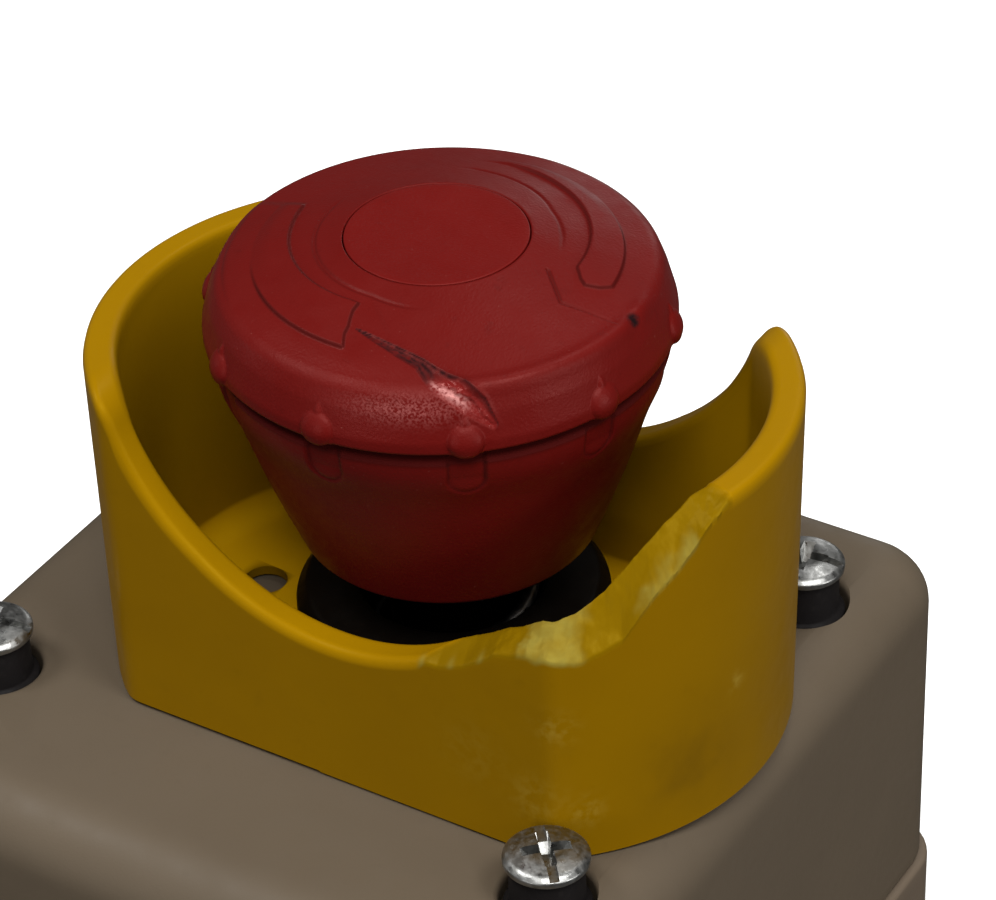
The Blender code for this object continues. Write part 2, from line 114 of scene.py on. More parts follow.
# Lugs round the cap's rim, with a rounded recess in the skirt under each
LUGS = 10
LUG_START = math.radians(308)
LUG_HALF_WIDTH = 1.5
LUG_HEIGHT = 3.2
LUG_REACH = 0.6
LUG_DIP = 0.1  # how far a lug hangs below the rim
RECESS_HEIGHT = 4.3
RECESS_DEPTH = 0.30
RECESS_GROOVE = 0.10  # further, along its edge

# The two moulded arrows mirror each other about a line through the axis. "Away" is the angle from
# that line, in degrees; the tail is the thin end.
ARROW_LINE = 138.0
ARROW_TAIL = 41.0
ARROW_SWEEP = 84.0
ARROW_OUTER = 15.5
ARROW_TAIL_RADIUS = {1: 14.6, -1: 13.35}
ARROW_TAIL_FADE = {1: 6.5, -1: 1.2}  # length over which the tail rises
ARROW_WIDENING = 2.4
ARROW_HEAD = {  # radius, away
    1: [(12.0, 125.0), (13.0, 132.0), (13.6, 134.0), (14.7, 132.0), (15.5, 129.0)],
    -1: [(11.8, 129.0), (12.6, 130.3), (13.4, 131.8), (14.2, 132.3), (15.5, 134.8)],
}
ARROW_HEIGHT = 0.30
GROOVE_DEPTH = 0.11
GROOVE_WIDTH = 0.15
INNER_GROOVE = {
    1: [(29.0, 12.2), (83.0, 10.4), (112.0, 10.4)],  # away, radius
    -1: [(38.0, 10.5), (131.0, 9.8), (150.0, 10.2)],
}
CHEVRON = [(10.4, 135.0), (13.3, 147.0), (15.5, 143.5), (18.4, 141.0)]  # radius, away

# A nick in the shoulder at the right
NICK_ANGLE = math.radians(1.5)
NICK_RADIUS = 0.8
NICK_DEPTH = 0.22

# A painted highlight: a pale grainy patch on the front of the cap's flank, in place of a reflection
PAINTED_HIGHLIGHT_ANGLE = 295.0
PAINTED_HIGHLIGHT_ALONG = 12.6  # distance from the disc along the cap's profile

# The guard
GUARD_SHIFT = ((GUARD_LOW + GUARD_HIGH) / 2 - ORIGIN)[:2]  # its walls stand off the button's axis
GUARD_ARC = 23.6
GUARD_CENTRE = (GUARD_HIGH[0] - GUARD_LOW[0]) / 2 - GUARD_ARC
GUARD_HALF_WIDTH = (GUARD_HIGH[1] - GUARD_LOW[1]) / 2
GUARD_SPREAD = 0.00045  # its walls stand apart by this share more for each millimetre of height
GUARD_LEAN = 0.009  # its walls lean towards +X by this share of their height
GUARD_WALL = 2.9
GUARD_FLOOR = 0.9
FLOOR_FILLET = 2.4
GUARD_TOP = GUARD_HIGH[2] - ORIGIN[2]
GUARD_BOTTOM = GUARD_LOW[2] - ORIGIN[2]
GUARD_HOLE = (20.6, 2.0)  # place along X and radius
PANEL_HOLE = 11.3
SCALLOP_RADIUS = 21.5
SCALLOP_CENTRE = 36.8
EAR_RADIUS = 4.0
RIM_FILLET = 0.8
FOOT_GAP = 0.12  # under the left part of its front wall

SCREWS = {  # turn of each screw's slot, in degrees
    "lid_screw_1": 20.0,
    "lid_screw_2": -48.0,
    "lid_screw_3": 75.0,
    "lid_screw_4": 12.0,
}
HEAD_RADIUS = 3.7
RECESS_RADIUS = 4.1


# --- mesh tools ---


def smooth_step(values):
    """0 below -0.5, 1 above 0.5, and a soft step between."""
    share = np.clip(values + 0.5, 0.0, 1.0)
    return share * share * (3 - 2 * share)


def bell(distance, width):
    """A smooth hump: 1 where distance is 0, and about a third where it equals width."""
    return np.exp(-((distance / width) ** 2))


def path(corners, spacing, closed=False):
    """Points along a run of corners, each (x, z, fillet radius), no further apart than spacing."""
    places = [np.array(corner[:2], float) for corner in corners]
    count = len(corners)
    dense = []
    for i, (here, corner) in enumerate(zip(places, corners)):
        radius = corner[2]
        if radius == 0 or (not closed and i in (0, count - 1)):
            dense.append(here)
            continue
        back = places[i - 1] - here
        ahead = places[(i + 1) % count] - here
        back /= np.linalg.norm(back)
        ahead /= np.linalg.norm(ahead)
        half = math.acos(np.clip(back @ ahead, -1, 1)) / 2
        middle = (back + ahead) / np.linalg.norm(back + ahead)
        centre = here + middle * radius / math.sin(half)
        reach = radius / math.tan(half)
        start = here + back * reach - centre
        end = here + ahead * reach - centre
        sweep = math.pi - 2 * half
        steps = max(4, round(sweep * radius / spacing))
        for step in range(steps + 1):
            t = step / steps
            turn = start * math.sin((1 - t) * sweep) + end * math.sin(t * sweep)
            dense.append(centre + turn / math.sin(sweep))
    if closed:
        dense.append(dense[0])
    points = []
    for a, b in zip(dense, dense[1:]):
        steps = max(1, math.ceil(np.linalg.norm(b - a) / spacing))
        points += [a + (b - a) * step / steps for step in range(steps)]
    if not closed:
        points.append(dense[-1])
    return np.array(points)


def grid_faces(rows, columns, wrap_rows):
    """Quads over a grid of points numbered row by row, whose columns go all the way round."""
    row, column = np.meshgrid(
        np.arange(rows if wrap_rows else rows - 1), np.arange(columns), indexing="ij"
    )
    next_row = (row + 1) % rows
    next_column = (column + 1) % columns
    quads = np.stack(
        [
            row * columns + column,
            row * columns + next_column,
            next_row * columns + next_column,
            next_row * columns + column,
        ],
        -1,
    )
    return quads.reshape(-1, 4)


def volume(points, quads):
    a, b, c, d = (points[quads[:, k]] for k in range(4))
    return np.einsum("ij,ij->i", a, np.cross(b, c) + np.cross(c, d)).sum()


def turned(profile, columns):
    """A grid of points: profile (radius, height) down the rows, turned about Z along the columns."""
    angle = np.linspace(0.0, math.tau, columns, endpoint=False)
    radius = profile[:, :1]
    height = np.repeat(profile[:, 1:], columns, axis=1)
    return np.stack([radius * np.cos(angle), radius * np.sin(angle), height], -1)


def lengths(points):
    """Distance of each point from the first, along the line through them."""
    return np.concatenate([[0], np.cumsum(np.linalg.norm(np.diff(points, axis=0), axis=1))])


def profile_normals(profile):
    """Unit normals on the left of a profile that runs outward and then down."""
    tangent = np.gradient(profile, axis=0)
    tangent /= np.linalg.norm(tangent, axis=1)[:, None]
    return np.stack([-tangent[:, 1], tangent[:, 0]], 1)


def add(name, data):
    """A new object in the scene."""
    obj = bpy.data.objects.new(name, data)
    bpy.context.scene.collection.objects.link(obj)
    return obj


def mesh_object(name, points, faces, centre):
    mesh = bpy.data.meshes.new(name)
    mesh.from_pydata((np.asarray(points) * MM).tolist(), [], faces)
    mesh.validate()
    obj = add(name, mesh)
    obj.location = Vector(np.asarray(centre) * MM)
    return obj


def shade(obj, angle=35.0):
    obj.data.shade_smooth()
    obj.data.set_sharp_from_angle(angle=math.radians(angle))


def grid_object(name, grid, centre=None, masks=None):
    """A closed ring-shaped mesh from a grid of points, with named masks stored at its points."""
    rows, columns = grid.shape[:2]
    points = grid.reshape(-1, 3)
    quads = grid_faces(rows, columns, True)
    if volume(points, quads) < 0:
        quads = quads[:, ::-1]
    obj = mesh_object(name, points, quads.tolist(), ORIGIN if centre is None else centre)
    for mask, values in (masks or {}).items():
        attribute = obj.data.attributes.new(mask, "FLOAT", "POINT")
        attribute.data.foreach_set("value", values.astype(np.float32).ravel())
    return obj


def weld(obj):
    """Joins points that share a place, such as those on the axis, and faces the mesh outward."""
    bm = bmesh.new()
    bm.from_mesh(obj.data)
    bmesh.ops.remove_doubles(bm, verts=bm.verts, dist=1e-7)
    bmesh.ops.recalc_face_normals(bm, faces=bm.faces)
    bm.to_mesh(obj.data)
    bm.free()


def lofted(name, outlines, centre):
    """A solid through outlines of equal counts, each (points, height)."""
    count = len(outlines[0][0])
    points = [(x, y, z) for outline, z in outlines for x, y in outline]
    faces = grid_faces(len(outlines), count, False).tolist()
    faces.append(list(range(count))[::-1])
    faces.append(list(range(len(points) - count, len(points))))
    obj = mesh_object(name, points, faces, centre)
    weld(obj)
    return obj


def rounded_square(side, radius, steps=10, run=6):
    """A square with round corners, anticlockwise, with extra points along its straight runs."""
    centre = side / 2 - radius
    points = []
    for corner in range(4):
        cx = centre * (1 if corner in (0, 3) else -1)
        cy = centre * (1 if corner in (0, 1) else -1)
        for step in range(steps + 1):
            angle = (corner + step / steps) * math.pi / 2
            points.append((cx + radius * math.cos(angle), cy + radius * math.sin(angle)))
        turn = (corner + 1) * math.pi / 2
        along = (-math.sin(turn), math.cos(turn))
        last = points[-1]
        for step in range(1, run):
            reach = 2 * centre * step / run
            points.append((last[0] + along[0] * reach, last[1] + along[1] * reach))
    return points


def rectangle(half_x, half_y):
    return [(-half_x, -half_y), (half_x, -half_y), (half_x, half_y), (-half_x, half_y)]


def carve(obj, cutters):
    """Cuts each cutter from obj, and removes the cutters."""
    for cutter in cutters:
        modifier = obj.modifiers.new("cut", "BOOLEAN")
        modifier.operation = "DIFFERENCE"
        modifier.object = cutter
    bpy.context.view_layer.update()
    shape = obj.evaluated_get(bpy.context.evaluated_depsgraph_get())
    mesh = bpy.data.meshes.new_from_object(shape)
    obj.modifiers.clear()
    obj.data = mesh
    for cutter in cutters:
        bpy.data.objects.remove(cutter)


def turned_solid(name, corners, spacing, columns, centre):
    """A solid turned about Z, from corners that start and end on the axis."""
    profile = path(corners, spacing)
    grid = turned(profile, columns)
    points = grid.reshape(-1, 3)
    quads = grid_faces(len(profile), columns, False)
    obj = mesh_object(name, points, quads.tolist(), centre)
    weld(obj)
    return obj


def cylinder(name, radius, bottom, top, columns, centre):
    corners = [(0.0, top, 0), (radius, top, 0), (radius, bottom, 0), (0.0, bottom, 0)]
    return turned_solid(name, corners, 2.0, columns, centre)


def turned_ring(name, corners, spacing, columns, centre=None):
    return grid_object(name, turned(path(corners, spacing, closed=True), columns), centre)


def place(obj, node, material, body=None, angle=35.0):
    """obj stands for a CAD node, rides on its body and takes its material slot."""
    shade(obj, angle)
    obj.data.materials.clear()
    obj.data.materials.append(material)
    owner = body or next(b for b, nodes in BODIES.items() if node in nodes)
    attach(obj, owner)
    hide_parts(node)
    return obj


def line_distance(points, line):
    """Distance from each point to a broken line, the place along it that is nearest, and the side."""
    best = np.full(len(points), np.inf)
    where = np.zeros(len(points))
    side = np.ones(len(points))
    for i, (a, b) in enumerate(zip(line, line[1:])):
        step = b - a
        share = np.clip((points - a) @ step / (step @ step), 0.0, 1.0)
        offset = points - a
        distance = np.linalg.norm(offset - share[:, None] * step, axis=1)
        nearer = distance < best
        best[nearer] = distance[nearer]
        where[nearer] = i + share[nearer]
        side[nearer] = np.sign(step[0] * offset[nearer, 1] - step[1] * offset[nearer, 0])
    return best, where, side


def roughness_field(points, scale):
    """Turbulence from -1 to 1 at each point, whose largest swells are about scale wide."""
    return np.array([noise.fractal(Vector(p) / scale, 0.9, 2.0, 4) for p in points])


# --- materials ---


class Finish:
    """A Principled material and short calls that wire procedural textures into it."""

    def __init__(self, name, colour, roughness, metallic=0.0, specular=0.5, tint=(1, 1, 1)):
        self.material = bpy.data.materials.new(name)
        self.material.use_nodes = True
        self.nodes = self.material.node_tree.nodes
        self.links = self.material.node_tree.links
        self.shader = self.nodes["Principled BSDF"]
        self.set(self.shader, "Base Color", (*colour, 1.0))
        self.set(self.shader, "Roughness", roughness)
        self.set(self.shader, "Metallic", metallic)
        self.set(self.shader, "Specular IOR Level", specular)
        self.set(self.shader, "Specular Tint", (*tint, 1.0))
        self.place = self.nodes.new("ShaderNodeTexCoord").outputs["Object"]
        self.colour = None
        self.normal = None

    @staticmethod
    def set(node, socket, value):
        node.inputs[socket].default_value = value

    def feed(self, node, socket, value):
        """Links a socket's value, or sets a constant."""
        if isinstance(value, bpy.types.NodeSocket):
            self.links.new(value, node.inputs[socket])
        else:
            node.inputs[socket].default_value = value

    def noise(self, size, detail):
        """Soft noise, 0 to 1, whose features are about size millimetres across."""
        texture = self.nodes.new("ShaderNodeTexNoise")
        self.links.new(self.place, texture.inputs["Vector"])
        self.set(texture, "Scale", 1.0 / (size * MM))
        self.set(texture, "Detail", detail)
        return texture.outputs["Fac"]

    def cells(self, size):
        texture = self.nodes.new("ShaderNodeTexVoronoi")
        self.links.new(self.place, texture.inputs["Vector"])
        self.set(texture, "Scale", 1.0 / (size * MM))
        return texture.outputs["Distance"]

    def mask(self, name):
        node = self.nodes.new("ShaderNodeAttribute")
        node.attribute_name = name
        return node.outputs["Fac"]

    def ramp(self, value, low, high, start=0.0, end=1.0):
        """value from low to high becomes start to end, held outside that range."""
        node = self.nodes.new("ShaderNodeMapRange")
        self.feed(node, "Value", value)
        for socket, number in zip(("From Min", "From Max", "To Min", "To Max"), (low, high, start, end)):
            node.inputs[socket].default_value = number
        return node.outputs["Result"]

    def math(self, operation, a, b):
        node = self.nodes.new("ShaderNodeMath")
        node.operation = operation
        self.feed(node, 0, a)
        self.feed(node, 1, b)
        return node.outputs["Value"]

    def within(self, mask, value):
        """value, a socket or a number, times a mask."""
        return self.math("MULTIPLY", self.mask(mask), value)

    def blend(self, amount, colour):
        """Mixes a colour over what the surface has so far."""
        node = self.nodes.new("ShaderNodeMix")
        node.data_type = "RGBA"
        self.feed(node, "Factor", amount)
        under = self.colour or tuple(self.shader.inputs["Base Color"].default_value)
        self.feed(node, 6, under)
        self.feed(node, 7, (*colour, 1.0))
        self.colour = node.outputs[2]
        self.links.new(self.colour, self.shader.inputs["Base Color"])

    def mottle(self, size, detail, low, high, amount, colour):
        """Blotches of a colour where noise is above low, as strong as amount where it is above high."""
        self.blend(self.ramp(self.noise(size, detail), low, high, 0.0, amount), colour)

    def rough(self, value):
        self.links.new(value, self.shader.inputs["Roughness"])

    def uneven_gloss(self, size, detail, low, high):
        """Roughness that drifts between low and high."""
        roughness = self.ramp(self.noise(size, detail), 0.3, 0.7, low, high)
        self.rough(roughness)
        return roughness

    def bump(self, height, depth):
        """Adds relief: height 0 to 1 stands for depth millimetres."""
        node = self.nodes.new("ShaderNodeBump")
        self.set(node, "Distance", depth * MM)
        self.links.new(height, node.inputs["Height"])
        if self.normal is not None:
            self.links.new(self.normal, node.inputs["Normal"])
        self.normal = node.outputs["Normal"]
        self.links.new(self.normal, self.shader.inputs["Normal"])


def red_plastic(name, depth=1.0, crease_shaded=False, worn=False):
    """Red moulded plastic with a fine grain, mottled. Parts with creases get painted shade; worn ones
    hold grime with painted edge shadow, tear, and carry painted glints and a painted highlight.
    """
    red = np.array((0.082, 0.0034, 0.0027)) * depth
    made = Finish(name, tuple(red), 0.42, specular=0.16, tint=(1.0, 0.42, 0.38))
    made.mottle(9.0, 3.0, 0.35, 0.75, 0.55, tuple(red * 0.86))
    made.mottle(1.3, 5.0, 0.62, 0.78, 0.35, tuple(red * 0.62))
    made.mottle(0.35, 2.0, 0.74, 0.80, 0.4, (0.200, 0.0600, 0.0500))
    roughness = made.uneven_gloss(2.5, 5.0, 0.36, 0.50)
    made.bump(made.noise(0.24, 2.0), 0.030)
    made.bump(made.noise(3.0, 3.0), 0.050)
    # painted shade: darkens the surface where the crease mask is set
    if crease_shaded:
        roughness = made.math("MAXIMUM", roughness, made.mask("crease"))
        made.rough(roughness)
        made.blend(made.within("crease", 0.75), (0.016, 0.0010, 0.0009))
    if worn:
        flecks = made.ramp(made.noise(0.7, 6.0), 0.30, 0.52, 0.25, 1.0)
        # dark streaks of grime in the scrape, with painted shadow along its upper edge and a darkened
        # nick
        dirt_and_edge_shade = made.within("dirt_and_edge_shade", flecks)
        made.blend(dirt_and_edge_shade, (0.005, 0.0022, 0.0028))
        made.blend(made.mask("torn"), (0.110, 0.0075, 0.0066))
        # painted glints: pale flecks in the torn part stand for light glancing off it
        painted_glint_flecks = made.within("painted_glint", made.ramp(made.noise(0.4, 3.0), 0.36, 0.56))
        made.blend(made.math("MULTIPLY", painted_glint_flecks, 0.9), (0.420, 0.190, 0.175))
        # painted highlight: pale grainy colour on the front of the flank
        grain = made.within("painted_highlight", made.ramp(made.noise(0.2, 2.0), 0.40, 0.62))
        made.blend(made.math("MULTIPLY", grain, 0.55), (0.240, 0.070, 0.064))
        gloss = made.ramp(made.mask("torn"), 0.1, 0.8, 1.0, 0.4)
        made.rough(made.math("MAXIMUM", made.math("MULTIPLY", roughness, gloss), dirt_and_edge_shade))
    return made.material


def yellow_plastic():
    """Yellow moulded plastic, satin, scuffed, and pale where it is torn."""
    made = Finish("yellow_plastic", (0.172, 0.087, 0.0003), 0.40, specular=0.10, tint=(1.0, 0.75, 0.08))
    made.mottle(14.0, 4.0, 0.35, 0.70, 0.5, (0.152, 0.075, 0.0003))
    made.mottle(2.2, 6.0, 0.62, 0.80, 0.25, (0.122, 0.059, 0.0004))
    # painted light: the guard's inner walls, floor and rim top are drawn lighter
    made.blend(made.mask("painted_inner_light"), (0.400, 0.210, 0.0008))
    made.blend(made.within("grime", made.noise(3.0, 6.0)), (0.040, 0.022, 0.003))
    scuff = made.within("scuff", made.ramp(made.noise(0.9, 6.0), 0.42, 0.62))
    made.blend(scuff, (0.240, 0.160, 0.020))
    patches = made.ramp(made.noise(1.6, 5.0), 0.30, 0.65, 0.45, 1.0)
    torn = made.within("torn", patches)
    made.blend(made.mask("broken"), (0.128, 0.070, 0.0004))
    made.blend(torn, (0.160, 0.122, 0.019))
    made.uneven_gloss(4.0, 5.0, 0.33, 0.46)
    made.bump(made.noise(0.22, 2.0), 0.006)
    made.bump(made.noise(5.0, 3.0), 0.060)
    return made.material


def grey_plastic(name, colour):
    """Warm grey moulded plastic with a fine spark-eroded texture."""
    grey = np.array(colour)
    made = Finish(name, tuple(grey), 0.55, specular=0.14)
    made.mottle(18.0, 4.0, 0.35, 0.70, 0.5, tuple(grey * 0.90))
    made.mottle(1.6, 6.0, 0.62, 0.80, 0.30, tuple(grey * 0.79))
    made.uneven_gloss(3.0, 5.0, 0.46, 0.60)
    made.bump(made.noise(0.28, 3.0), 0.012)
    made.bump(made.noise(6.0, 2.0), 0.040)
    return made.material


def black_plastic(name):
    made = Finish(name, (0.0020, 0.0013, 0.0008), 0.55, specular=0.05)
    made.mottle(1.2, 6.0, 0.58, 0.78, 0.4, (0.0060, 0.0040, 0.0024))
    made.uneven_gloss(1.8, 5.0, 0.34, 0.55)
    made.bump(made.noise(0.2, 2.0), 0.008)
    return made.material


def rubber(name):
    made = Finish(name, (0.0050, 0.0040, 0.0040), 0.70, specular=0.12)
    made.mottle(0.8, 6.0, 0.56, 0.80, 0.5, (0.0130, 0.0110, 0.0100))
    made.uneven_gloss(1.2, 4.0, 0.58, 0.82)
    made.bump(made.noise(0.25, 3.0), 0.020)
    return made.material


def nylon(name):
    made = Finish(name, (0.55, 0.53, 0.46), 0.45, specular=0.4)
    made.mottle(3.0, 4.0, 0.4, 0.75, 0.5, (0.48, 0.45, 0.37))
    made.uneven_gloss(1.5, 4.0, 0.38, 0.56)
    made.bump(made.noise(0.2, 2.0), 0.008)
    return made.material


def metal(name, colour, dark, roughness):
    """Plated metal with darker blotches, a fine grain and shallow pits."""
    made = Finish(name, colour, roughness, metallic=1.0)
    made.mottle(1.1, 6.0, 0.45, 0.75, 0.8, dark)
    made.uneven_gloss(0.6, 6.0, roughness * 0.7, roughness * 1.5)
    made.bump(made.noise(0.25, 4.0), 0.012)
    made.bump(made.cells(0.8), 0.010)
    return made.material


# --- head ---


def away_from_line(angle, side):
    """Degrees from the arrows' mirror line, anticlockwise for side -1 and clockwise for side 1."""
    return (side * (ARROW_LINE - angle)) % 360.0


def arrow_relief(radius, angle):
    """Height of the moulded arrows and fine lines at each (radius, angle in degrees)."""
    edge = 0.22
    relief = np.zeros(np.broadcast(radius, angle).shape)
    for side in (1, -1):
        away = away_from_line(angle, side)
        share = np.clip((away - ARROW_TAIL) / ARROW_SWEEP, 0.0, 1.0)
        inner = ARROW_TAIL_RADIUS[side] - ARROW_WIDENING * share**0.8
        head = np.interp(radius, *np.array(ARROW_HEAD[side]).T)
        from_inner = smooth_step((radius - inner) / edge)
        from_head = smooth_step(np.radians(head - away) * radius / edge)
        from_tail = smooth_step(np.radians(away - ARROW_TAIL) * radius / ARROW_TAIL_FADE[side])
        from_outer = smooth_step((ARROW_OUTER - radius) / edge)
        across = np.clip((ARROW_OUTER - radius) / (ARROW_OUTER - inner), 0.0, 1.0)
        square = smooth_step((away - 85.0) / 25.0)  # the outer edge is a step only by the head
        outline = from_inner * from_head * from_tail
        relief += ARROW_HEIGHT * outline * (square * from_outer + (1 - square) * smooth_step(across))
        groove = np.array(INNER_GROOVE[side])
        on_groove = bell(radius - np.interp(away, *groove.T), GROOVE_WIDTH)
        inside = smooth_step((away - groove[0, 0]) / 14.0) * smooth_step((groove[-1, 0] - away) / 24.0)
        relief -= GROOVE_DEPTH * on_groove * inside
    return relief


def chevron_relief(points):
    """Fine lines that frame the arrows' heads; the left one is nearly worn away."""
    relief = np.zeros(len(points))
    for side, depth in ((1, 0.16), (-1, 0.02)):
        line = []
        for radius, away in CHEVRON:
            angle = math.radians(ARROW_LINE - side * away)
            line.append((radius * math.cos(angle), radius * math.sin(angle)))
        distance, share, _ = line_distance(points[:, :2], np.array(line))
        fade = np.clip(1.25 - share / 2.4, 0.25, 1.0)
        relief -= depth * fade * bell(distance, 0.13)
    return relief


def lug_offsets(angle, radius):
    """For each lug in turn, the distance of each angle from the lug's middle, round the rim."""
    for lug in range(LUGS):
        centre = LUG_START + math.tau * lug / LUGS
        yield ((angle - centre + math.pi) % math.tau - math.pi) * radius


def lug_relief(angle, height):
    """How far the lugs stand out of the cap's flank and hang below it; each is a drop with a tail."""
    relief = np.zeros(np.broadcast(angle, height).shape)
    dip = relief.copy()
    up = (height - RIM) / LUG_HEIGHT
    tail_width = LUG_HALF_WIDTH * np.clip(1.15 - up, 0.05, 1.0)
    for apart in lug_offsets(angle, CAP_RADIUS):
        from_middle = np.hypot(apart, height - RIM - 0.8 * LUG_HALF_WIDTH) / LUG_HALF_WIDTH
        bulb = np.clip(1 - from_middle**2, 0.0, 1.0) ** 0.6
        tail = 0.35 * np.clip(1 - (apart / tail_width) ** 2, 0.0, 1.0) * smooth_step((1.0 - up) / 0.3)
        relief += LUG_REACH * np.maximum(bulb, tail)
        dip += LUG_DIP * bulb
    return relief, dip


def gouge(points, profile, length):
    """The scrape over the front of the cap: its depth, and masks for grime with painted edge shadow,
    torn plastic and painted glints.

    Its line is given as (distance from the disc along the profile, degrees, half width, depth).
    """
    steps = [
        (5.6, -87.0, 0.12, 0.03), (6.2, -79.0, 0.30, 0.08), (7.3, -69.4, 0.50, 0.13),
        (8.3, -63.0, 0.60, 0.14), (10.1, -57.7, 1.05, 0.24), (11.1, -53.8, 1.15, 0.36),
        (12.5, -49.2, 1.05, 0.34), (14.2, -45.4, 0.40, 0.12),
    ]
    line = []
    for along, degrees, _, _ in steps:
        radius, height = (np.interp(along, length, profile[:, k]) for k in (0, 1))
        angle = math.radians(degrees)
        line.append((radius * math.cos(angle), radius * math.sin(angle), height))
    distance, where, side = line_distance(points, np.array(line))
    order = np.arange(len(steps))
    half_width = np.interp(where, order, [s[2] for s in steps])
    depth = np.interp(where, order, [s[3] for s in steps])
    inside = np.clip(1 - (distance / half_width) ** 2, 0.0, 1.0)
    lip = bell(distance - half_width * 1.05, 0.22) * depth * (0.20 + 0.15 * side)
    near = distance < half_width * 2.2
    rough = np.zeros(len(points))
    rough[near] = roughness_field(points[near], 0.9)
    # where runs from 0 at the start of the line to 7 at its end, and across from -1 to 1 over its width
    across = side * distance / half_width
    torn = smooth_step((where - 3.9 - 0.7 * np.clip(across, 0, 1)) / 0.6) * inside**0.5
    # painted glints: where pale flecks stand for light glancing off the torn plastic
    painted_glint = torn * bell(across + 0.45, 0.40) * smooth_step((5.7 - where) / 0.8)
    ribs = np.sin(across * 8.0 + rough * 2.5)
    relief = -depth * inside**0.7 + lip + inside * (0.05 * rough + torn * (0.06 * rough + 0.07 * ribs))
    streaks = 0.5 + 0.5 * np.sin(9.0 * across + 3.0 * rough + 1.3 * np.sin(2.0 * where))
    # upper_edge is painted shadow: a dark line under the lip along the scrape's upper edge, joined to
    # the grime
    upper_edge = bell(across - 0.85, 0.16)
    dirt_and_edge_shade = inside**0.3 * smooth_step((3.7 - where) / 0.9) * (0.55 + 0.45 * streaks)
    dirt_and_edge_shade = np.maximum(dirt_and_edge_shade, upper_edge * smooth_step((7.0 - where) / 0.5) * (distance < 3))
    # this also darkens a thin line along the crack at the torn part's edge
    edge_crack = bell(across - 0.95, 0.10) * smooth_step((where - 4.6) / 0.6)
    return relief, np.clip(dirt_and_edge_shade + 0.6 * edge_crack, 0, 1), torn, painted_glint


def make_cap():
    spacing = 0.11
    outer = path(
        [
            (DISC_RADIUS + DISC_GAP, CAP_TOP - SEAT_DEPTH, 0),
            (DISC_RADIUS + DISC_GAP, CAP_TOP, 0.12), (SHOULDER_RADIUS, SHOULDER, 1.7),
            (19.35, 40.2, 4.0), (CAP_RADIUS, 37.8, 2.0), (CAP_RADIUS, RIM, 0.35), (19.0, RIM, 0),
        ],
        spacing,
    )
    inner = path(
        [
            (19.0, RIM, 0), (17.6, RIM, 0.4), (17.0, 39.6, 0.8), (4.2, 41.0, 0.5), (4.2, 28.0, 0.3),
            (1.9, 28.0, 0.2), (1.9, CAP_TOP - 4.3, 0.1), (3.6, CAP_TOP - 4.3, 0.1),
            (3.6, CAP_TOP - SEAT_DEPTH, 0.1), (DISC_RADIUS + DISC_GAP, CAP_TOP - SEAT_DEPTH, 0),
        ],
        0.9,
    )
    columns = 1080
    grid = turned(outer, columns)
    length = lengths(outer)
    angle = np.linspace(0.0, math.tau, columns, endpoint=False)[None, :]
    radius, height = outer[:, :1], outer[:, 1:]
    points = grid.reshape(-1, 3)
    on_top = smooth_step((height - SHOULDER - 0.15) / 0.3) * smooth_step((radius - 9.0) / 0.4)
    relief = on_top * arrow_relief(radius, np.degrees(angle))
    relief += on_top * chevron_relief(points).reshape(relief.shape)
    down_slope = np.gradient(relief, axis=0) / spacing
    side_slope = np.gradient(relief, axis=1) / (radius * math.tau / columns)
    # crease: painted shade, darkening the steep edges of the arrows and fine lines
    crease = np.clip(np.hypot(down_slope, side_slope) / 1.5, 0.0, 0.8)
    on_flank = smooth_step((radius - SHOULDER_RADIUS) / 0.3) * smooth_step((height - RIM + 0.35) / 0.3)
    lugs, dip = lug_relief(angle, height)
    relief += on_flank * lugs
    degrees = np.degrees(angle)
    # The shoulder is crisp at the right and worn blunt at the front left
    crisp = smooth_step((degrees - 306.0) / 8.0) + smooth_step((12.0 - degrees) / 10.0)
    past_disc = length > 5
    shoulder = np.interp(-SHOULDER, -outer[past_disc, 1], length[past_disc])
    relief += 0.20 * crisp * bell(length[:, None] - shoulder, 0.7)
    blunt = smooth_step((degrees - 190.0) / 20.0) * smooth_step((304.0 - degrees) / 14.0)
    relief -= 0.24 * blunt * bell(length[:, None] - shoulder, 1.5)
    from_disc = length - SEAT_DEPTH
    scrape, dirt_and_edge_shade, torn, painted_glint = gouge(points, outer, from_disc)
    # painted highlight: where the pale grainy patch lies on the flank
    painted_highlight = bell(degrees - PAINTED_HIGHLIGHT_ANGLE, 13.0) * bell(from_disc[:, None] - PAINTED_HIGHLIGHT_ALONG, 1.1)
    relief += scrape.reshape(relief.shape)
    nick_x = SHOULDER_RADIUS * math.cos(NICK_ANGLE)
    nick = np.array([nick_x, SHOULDER_RADIUS * math.sin(NICK_ANGLE), SHOULDER])
    near_nick = bell(np.linalg.norm(points - nick, axis=1), NICK_RADIUS)
    relief -= NICK_DEPTH * near_nick.reshape(relief.shape)
    # the nick is darkened as well
    dirt_and_edge_shade = np.clip(dirt_and_edge_shade + smooth_step((near_nick - 0.5) / 0.5), 0, 1)
    normal = profile_normals(outer)
    grid[..., 0] += normal[:, :1] * relief * np.cos(angle)
    grid[..., 1] += normal[:, :1] * relief * np.sin(angle)
    grid[..., 2] += normal[:, 1:] * relief - dip * smooth_step((radius - 19.2) / 0.5)
    under = turned(inner[1:-1], columns)
    blank = np.zeros(under.shape[:2])
    masks = {"dirt_and_edge_shade": dirt_and_edge_shade, "torn": torn, "crease": crease, "painted_glint": painted_glint, "painted_highlight": painted_highlight}
    for mask, values in masks.items():
        masks[mask] = np.concatenate([values.reshape(relief.shape), blank])
    cap = grid_object("cap_shell", np.concatenate([grid, under]), masks=masks)
    place(cap, "mushroom_cap", red_plastic("red_cap", crease_shaded=True, worn=True), angle=60)


